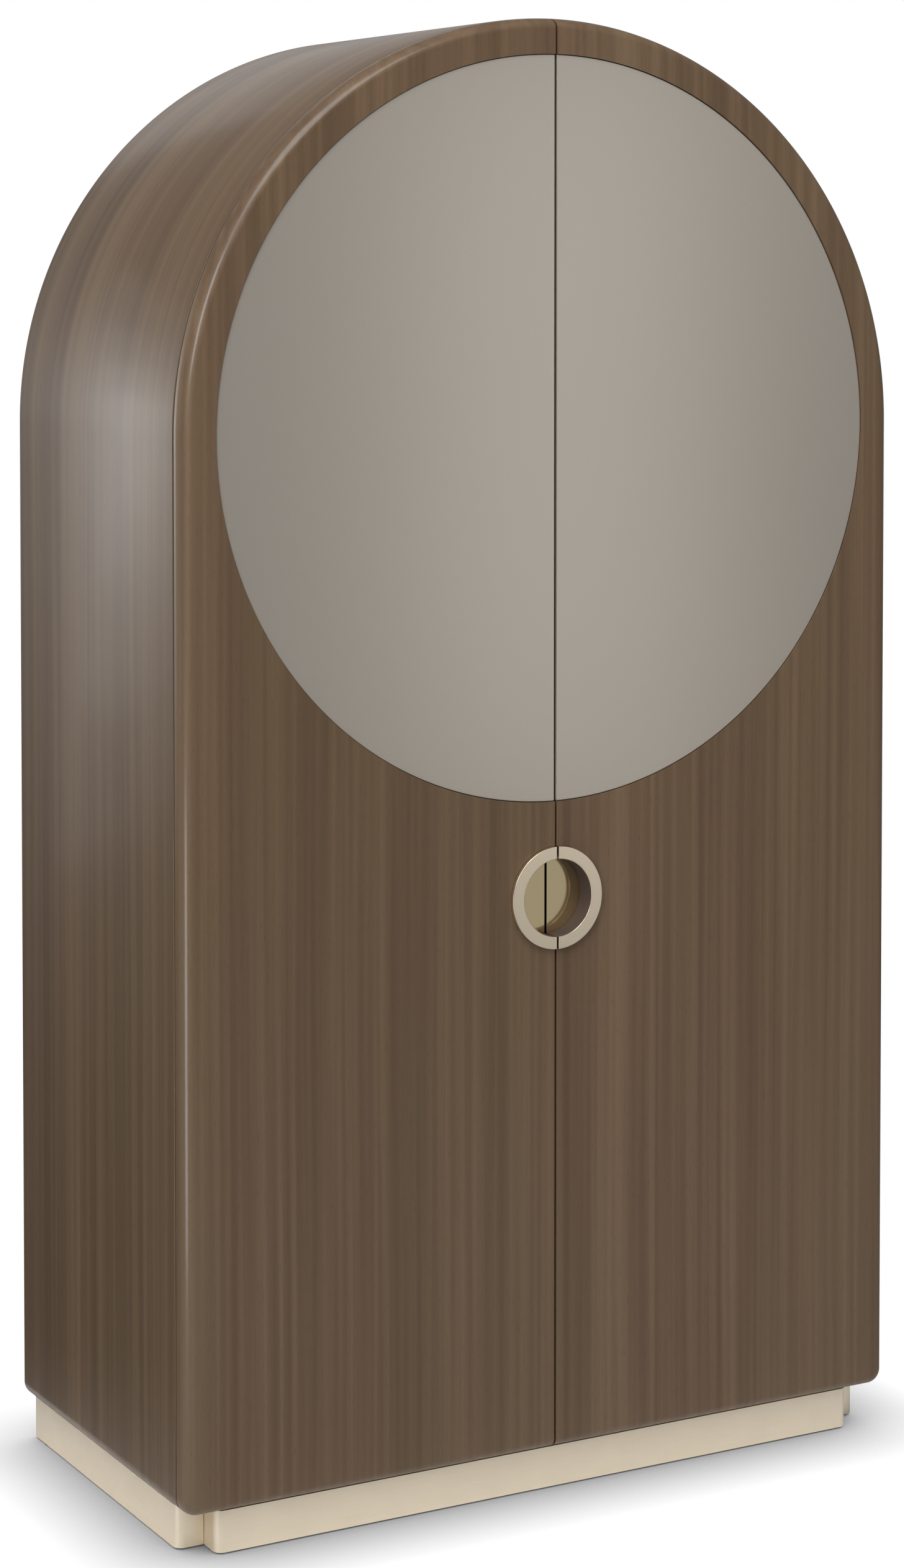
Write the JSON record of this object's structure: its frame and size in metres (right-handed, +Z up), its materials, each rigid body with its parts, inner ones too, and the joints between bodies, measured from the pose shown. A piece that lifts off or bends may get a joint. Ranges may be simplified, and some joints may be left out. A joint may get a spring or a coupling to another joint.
{
  "type": "armoire",
  "caption": "Arch-topped wooden armoire with a pair of doors, a round inlay and a round recessed pull split by the seam, hanging rail, shelves and a stepped metallic plinth.",
  "frame": {"origin": "on the floor, at the middle of the overall width and depth", "axes": "+Z up, -Y out of the doors towards a person facing them, +X to that person's right"},
  "size_m": [1.067, 0.539, 1.935],
  "materials": {
    "veneer": "straight-grained brown veneer, satin lacquer",
    "inside_wood": "brown veneer, matt lacquer",
    "inlay_lacquer": "taupe satin lacquer",
    "champagne_metal": "brushed champagne",
    "polished_champagne": "polished champagne",
    "champagne_plinth": "champagne metal leaf under satin lacquer",
    "nickel": "satin nickel plate",
    "steel": "bright zinc plate",
    "catch_plastic": "moulded",
    "glide_nylon": "moulded nylon"
  },
  "bodies": {
    "carcass": {"arch_top": "veneer", "bottom_panel": "veneer", "back_panel": "inside_wood", "fixed_shelf": "inside_wood", "adjustable_shelf": "inside_wood", "plinth_front": "champagne_plinth", "plinth_back": "champagne_plinth", "hanging_rail": "nickel", "left_side": "veneer", "plinth_left": "champagne_plinth", "left_catch": "catch_plastic", "left_rail_socket": "nickel", "left_front_shelf_pin": "nickel", "left_rear_shelf_pin": "nickel", "left_front_glide": "glide_nylon", "left_rear_glide": "glide_nylon", "left_lower_hinge_arm": "nickel", "left_lower_hinge_plate": "nickel", "left_middle_hinge_arm": "nickel", "left_middle_hinge_plate": "nickel", "left_upper_hinge_arm": "nickel", "left_upper_hinge_plate": "nickel", "right_side": "veneer", "plinth_right": "champagne_plinth", "right_catch": "catch_plastic", "right_rail_socket": "nickel", "right_front_shelf_pin": "nickel", "right_rear_shelf_pin": "nickel", "right_front_glide": "glide_nylon", "right_rear_glide": "glide_nylon", "right_lower_hinge_arm": "nickel", "right_lower_hinge_plate": "nickel", "right_middle_hinge_arm": "nickel", "right_middle_hinge_plate": "nickel", "right_upper_hinge_arm": "nickel", "right_upper_hinge_plate": "nickel"},
    "left_door": {"left_door": "veneer", "left_inlay": "inlay_lacquer", "left_pull_ring": "champagne_metal", "left_pull_backplate": "polished_champagne", "left_strike_plate": "steel", "left_lower_hinge_cup": "nickel", "left_lower_hinge_pin": "steel", "left_middle_hinge_cup": "nickel", "left_middle_hinge_pin": "steel", "left_upper_hinge_cup": "nickel", "left_upper_hinge_pin": "steel"},
    "right_door": {"right_door": "veneer", "right_inlay": "inlay_lacquer", "right_pull_ring": "champagne_metal", "right_pull_backplate": "polished_champagne", "right_strike_plate": "steel", "right_lower_hinge_cup": "nickel", "right_lower_hinge_pin": "steel", "right_middle_hinge_cup": "nickel", "right_middle_hinge_pin": "steel", "right_upper_hinge_cup": "nickel", "right_upper_hinge_pin": "steel"}
  },
  "joints": [
    {"name": "left_door_hinge", "type": "hinge", "parent": "carcass", "child": "left_door", "pos_m": [-0.5265, -0.2475, 0.74975], "axis": [0, 0, -1], "range_deg": [0, 105]},
    {"name": "right_door_hinge", "type": "hinge", "parent": "carcass", "child": "right_door", "pos_m": [0.5265, -0.2475, 0.74975], "axis": [0, 0, 1], "range_deg": [0, 105]}
  ]
}
